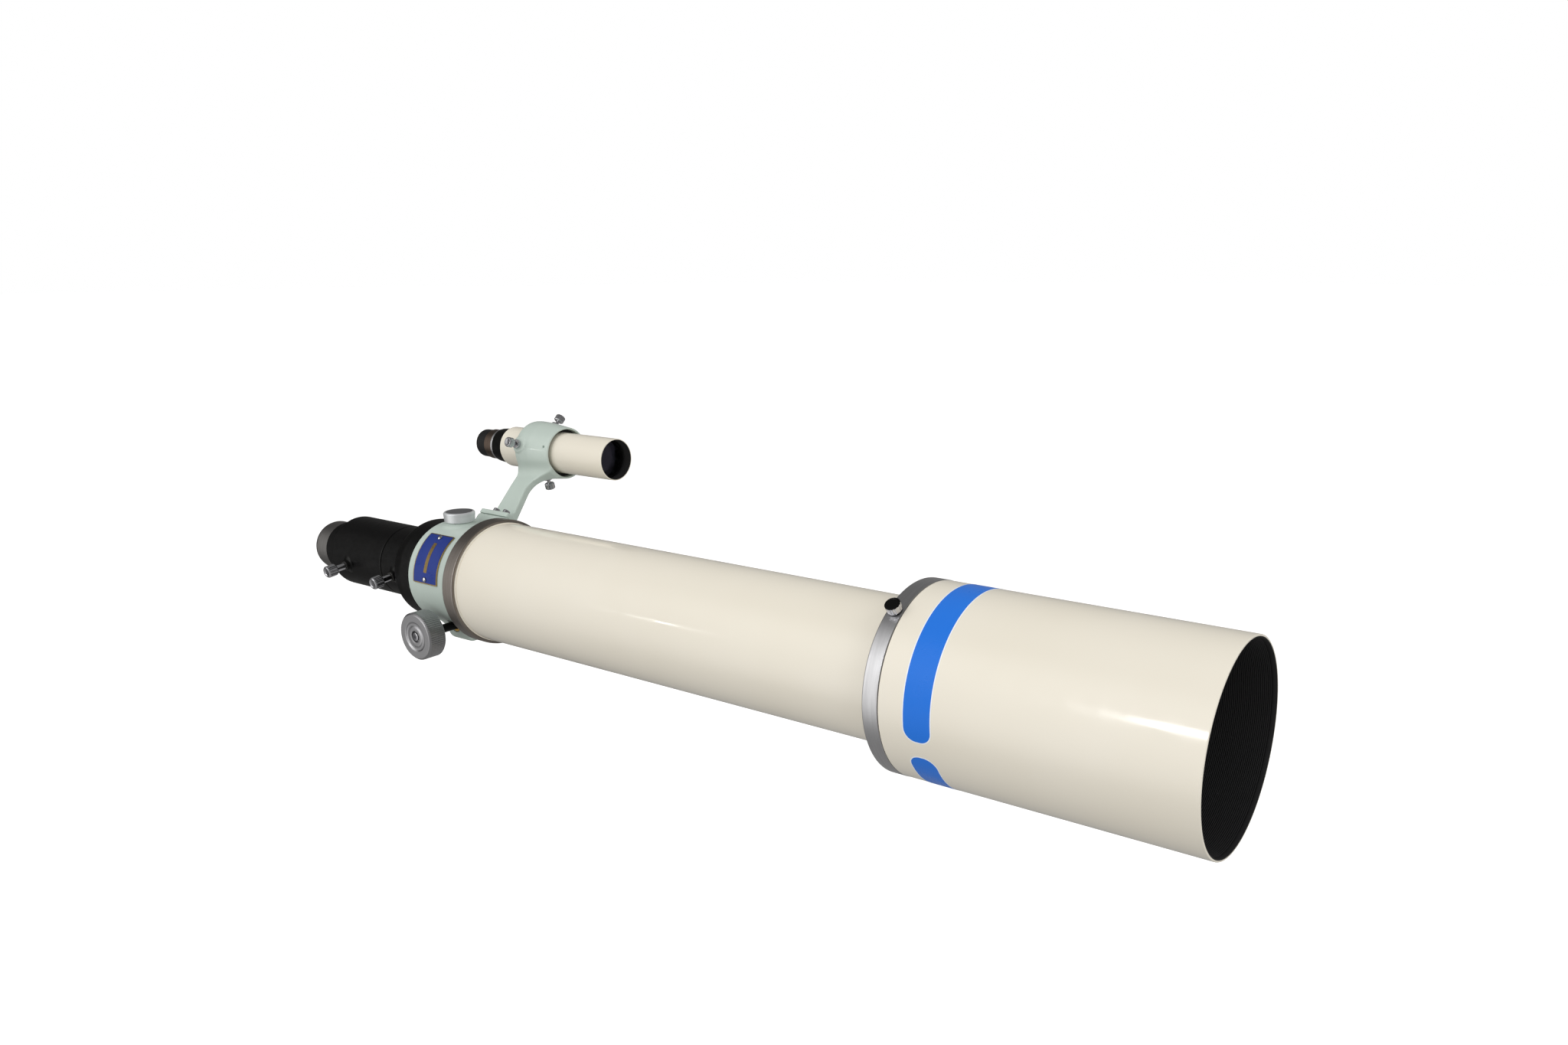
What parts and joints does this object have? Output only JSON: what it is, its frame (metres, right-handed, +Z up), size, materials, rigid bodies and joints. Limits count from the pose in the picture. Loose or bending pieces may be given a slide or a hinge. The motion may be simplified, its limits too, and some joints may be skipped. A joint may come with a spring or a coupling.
{
  "type": "refracting telescope tube with finder",
  "caption": "Refracting telescope tube with a wide sliding dew shield, rack-and-pinion focuser with knobs below, and a small finder telescope on an arm above.",
  "frame": {"origin": "on the optical axis, in the middle of the plain tube where a mount clamp grips it", "axes": "+X along the optical axis towards the sky, +Y towards the finder side, +Z up with the focus lock knob on top"},
  "size_m": [0.831, 0.1801, 0.1801],
  "materials": {
    "cream_paint": "satin enamel",
    "green_paint": "satin enamel on castings",
    "black_finish": "satin black",
    "silver": "turned, satin anodised",
    "steel": "polished",
    "brass": "machined",
    "felt": "felt strip",
    "polymer": "slippery plastic liner",
    "nameplate": "blue enamel with a gilt border",
    "rubber": "matt",
    "glass": "coated"
  },
  "bodies": {
    "tube_assembly": {"main_tube": "cream_paint", "tube_rear_ring": "silver", "tube_baffle_1": "black_finish", "tube_baffle_2": "black_finish", "tube_baffle_3": "black_finish", "objective_cell": "black_finish", "lens_rear": "glass", "lens_spacer": "black_finish", "lens_front": "glass", "lens_retaining_ring": "black_finish", "focuser_housing": "green_paint", "drawtube_guide_rear": "polymer", "drawtube_guide_front": "polymer", "focus_lock_shoe": "brass", "nameplate": "nameplate", "nameplate_screw_top": "steel", "nameplate_screw_bottom": "steel", "pinion_bush_near": "brass", "pinion_bush_far": "brass", "finder_bracket": "green_paint", "bracket_bolt_near_rear": "steel", "bracket_bolt_near_front": "steel", "bracket_bolt_far_rear": "steel", "bracket_bolt_far_front": "steel"},
    "shield": {"dew_shield": "cream_paint", "dew_shield_ring": "silver", "dew_shield_liner": "felt"},
    "shield_lock": {"dew_shield_lock_screw": "black_finish"},
    "draw": {"drawtube": "black_finish", "focus_rack": "brass", "drawtube_flange": "black_finish", "extension_tube": "black_finish"},
    "pinion": {"pinion_shaft": "black_finish", "focus_knob_near": "silver", "focus_knob_far": "silver", "focus_knob_screw_near": "steel", "focus_knob_screw_far": "steel"},
    "focus_lock": {"focus_lock_knob": "silver"},
    "rotator_clamp": {"clamp_screw_front": "steel"},
    "holder": {"eyepiece_holder": "black_finish", "compression_ring": "brass"},
    "holder_clamp": {"clamp_screw_rear": "steel"},
    "adapter": {"eyepiece_adapter": "black_finish"},
    "collar": {"adapter_collar": "silver"},
    "finder_pivot": {"finder_pivot_ring": "rubber"},
    "finder": {"finder_tube": "cream_paint", "finder_objective": "glass", "finder_lens_ring": "black_finish", "finder_eyepiece_tube": "black_finish", "finder_reticle": "glass"},
    "finder_focuser": {"finder_focus_ring": "silver", "finder_eye_barrel": "black_finish", "finder_eyecup": "rubber", "finder_eye_lens": "glass"},
    "finder_adjuster_out": {"finder_adjuster_out": "steel"},
    "finder_nut_out": {"finder_lock_nut_out": "steel"},
    "finder_adjuster_near": {"finder_adjuster_near": "steel"},
    "finder_nut_near": {"finder_lock_nut_near": "steel"},
    "finder_adjuster_low": {"finder_adjuster_low": "steel"},
    "finder_nut_low": {"finder_lock_nut_low": "steel"}
  },
  "joints": [
    {"name": "shield_slide", "type": "slide", "parent": "tube_assembly", "child": "shield", "axis": [-1, 0, 0], "range_m": [0, 0.13]},
    {"name": "shield_lock_turn", "type": "hinge", "parent": "shield", "child": "shield_lock", "pos_m": [0.2005, -0.0345, 0.05212], "axis": [0, -0.5519, 0.8339], "range_deg": [0, 180]},
    {"name": "focus_slide", "type": "slide", "parent": "tube_assembly", "child": "draw", "axis": [-1, 0, 0], "range_m": [0, 0.07]},
    {"name": "pinion_turn", "type": "hinge", "parent": "tube_assembly", "child": "pinion", "pos_m": [-0.242, 0, -0.0386], "axis": [0, -1, 0], "range_deg": [-1, 837]},
    {"name": "focus_lock_turn", "type": "hinge", "parent": "tube_assembly", "child": "focus_lock", "pos_m": [-0.249, 0, 0.0437], "axis": [0, 0, 1], "range_deg": [0, 180]},
    {"name": "rotator_clamp_turn", "type": "hinge", "parent": "draw", "child": "rotator_clamp", "pos_m": [-0.303, -0.0397, -0.00487], "axis": [0, -0.9925, -0.1219], "range_deg": [0, 180]},
    {"name": "holder_rotation", "type": "hinge", "parent": "draw", "child": "holder", "pos_m": [-0.307, 0, 0], "axis": [1, 0, 0], "range_deg": [-180, 180]},
    {"name": "holder_clamp_turn", "type": "hinge", "parent": "holder", "child": "holder_clamp", "pos_m": [-0.368, -0.0397, -0.00487], "axis": [0, -0.9925, -0.1219], "range_deg": [0, 180]},
    {"name": "adapter_slide", "type": "slide", "parent": "holder", "child": "adapter", "axis": [-1, 0, 0], "range_m": [0, 0.036]},
    {"name": "collar_turn", "type": "hinge", "parent": "adapter", "child": "collar", "pos_m": [-0.4215, 0, 0], "axis": [1, 0, 0], "range_deg": [0, 90]},
    {"name": "finder_yaw", "type": "hinge", "parent": "tube_assembly", "child": "finder_pivot", "pos_m": [-0.2225, 0.0898, 0.0898], "axis": [0, 0, 1], "range_deg": [-1, 1]},
    {"name": "finder_pitch", "type": "hinge", "parent": "finder_pivot", "child": "finder", "pos_m": [-0.2225, 0.0898, 0.0898], "axis": [0, 1, 0], "range_deg": [-1, 1]},
    {"name": "finder_focus_turn", "type": "hinge", "parent": "finder", "child": "finder_focuser", "pos_m": [-0.3, 0.0898, 0.0898], "axis": [1, 0, 0], "range_deg": [-90, 90]},
    {"name": "finder_adjuster_out_turn", "type": "hinge", "parent": "tube_assembly", "child": "finder_adjuster_out", "pos_m": [-0.251, 0.11314, 0.11314], "axis": [0, 0.7071, 0.7071], "range_deg": [-180, 180]},
    {"name": "finder_nut_out_turn", "type": "hinge", "parent": "tube_assembly", "child": "finder_nut_out", "pos_m": [-0.251, 0.10819, 0.10819], "axis": [0, 0.7071, 0.7071], "range_deg": [-180, 180]},
    {"name": "finder_adjuster_near_turn", "type": "hinge", "parent": "tube_assembly", "child": "finder_adjuster_near", "pos_m": [-0.251, 0.05851, 0.10027], "axis": [0, -0.9483, 0.3173], "range_deg": [-180, 180]},
    {"name": "finder_nut_near_turn", "type": "hinge", "parent": "tube_assembly", "child": "finder_nut_near", "pos_m": [-0.251, 0.06515, 0.09805], "axis": [0, -0.9483, 0.3173], "range_deg": [-180, 180]},
    {"name": "finder_adjuster_low_turn", "type": "hinge", "parent": "tube_assembly", "child": "finder_adjuster_low", "pos_m": [-0.251, 0.09666, 0.05752], "axis": [0, 0.2079, -0.9781], "range_deg": [-180, 180]},
    {"name": "finder_nut_low_turn", "type": "hinge", "parent": "tube_assembly", "child": "finder_nut_low", "pos_m": [-0.251, 0.09521, 0.06437], "axis": [0, 0.2079, -0.9781], "range_deg": [-180, 180]}
  ],
  "couplings": [
    {"joint": "pinion_turn", "follows": "focus_slide", "rad_per_m": 208.33}
  ]
}
